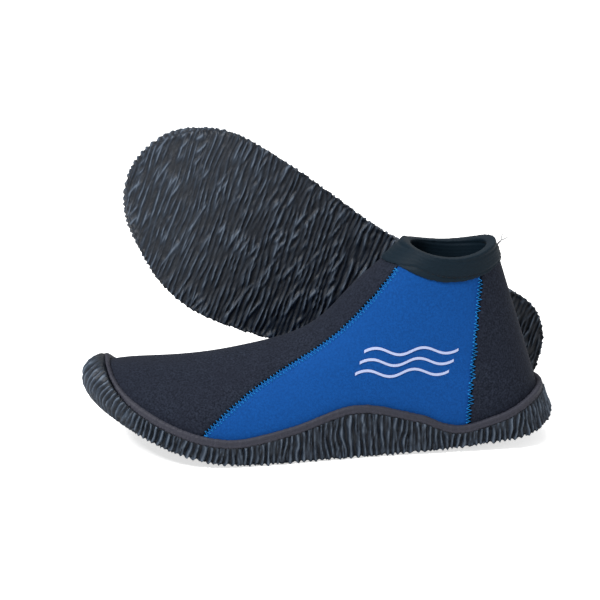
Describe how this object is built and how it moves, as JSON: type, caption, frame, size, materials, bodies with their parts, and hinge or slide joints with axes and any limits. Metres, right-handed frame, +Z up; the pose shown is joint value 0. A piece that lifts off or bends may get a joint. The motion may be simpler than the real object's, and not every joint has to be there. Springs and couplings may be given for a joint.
{
  "type": "neoprene boots",
  "caption": "Low slip-on neoprene boots with blue side quarters, a taped collar and a ridged wrap-up rubber sole, one standing and one lying on its side.",
  "frame": {"origin": "bottom centre of the box around both boots, on the floor", "axes": "+X from the standing boot's toe to its heel, +Y from the standing boot towards the lying one, +Z up"},
  "size_m": [0.3, 0.2352, 0.1807],
  "materials": {
    "sole_rubber": "matt, moulded with crinkled ridges",
    "midsole_foam": "closed-cell foam",
    "black_neoprene": "knitted nylon face, matt",
    "blue_neoprene": "knitted nylon face, matt",
    "insole_foam": "brushed knit on foam",
    "binding_tape": "ribbed woven tape, slightly shiny",
    "dark_thread": "polyester thread",
    "blue_thread": "polyester thread, flatlock",
    "pale_print": "rubbery screen print"
  },
  "bodies": {
    "left_boot": {"left_outsole": "sole_rubber", "left_midsole": "midsole_foam", "left_rand": "sole_rubber", "left_vamp_panel": "black_neoprene", "left_heel_panel": "black_neoprene", "left_outer_quarter": "blue_neoprene", "left_inner_quarter": "blue_neoprene", "left_bottom_sock": "black_neoprene", "left_insole": "insole_foam", "left_collar_binding": "binding_tape", "left_binding_stitch": "dark_thread", "left_binding_bartack": "dark_thread", "left_outer_front_seam": "blue_thread", "left_inner_front_seam": "blue_thread", "left_outer_rear_seam": "blue_thread", "left_inner_rear_seam": "blue_thread", "left_side_print": "pale_print"},
    "right_boot": {"right_outsole": "sole_rubber", "right_midsole": "midsole_foam", "right_rand": "sole_rubber", "right_vamp_panel": "black_neoprene", "right_heel_panel": "black_neoprene", "right_outer_quarter": "blue_neoprene", "right_inner_quarter": "blue_neoprene", "right_bottom_sock": "black_neoprene", "right_insole": "insole_foam", "right_collar_binding": "binding_tape", "right_binding_stitch": "dark_thread", "right_binding_bartack": "dark_thread", "right_outer_front_seam": "blue_thread", "right_inner_front_seam": "blue_thread", "right_outer_rear_seam": "blue_thread", "right_inner_rear_seam": "blue_thread", "right_side_print": "pale_print"}
  },
  "joints": [
    {"name": "right_boot_pull_away", "type": "slide", "parent": "left_boot", "child": "right_boot", "axis": [0, 1, 0], "range_m": [0, 0.25]}
  ]
}
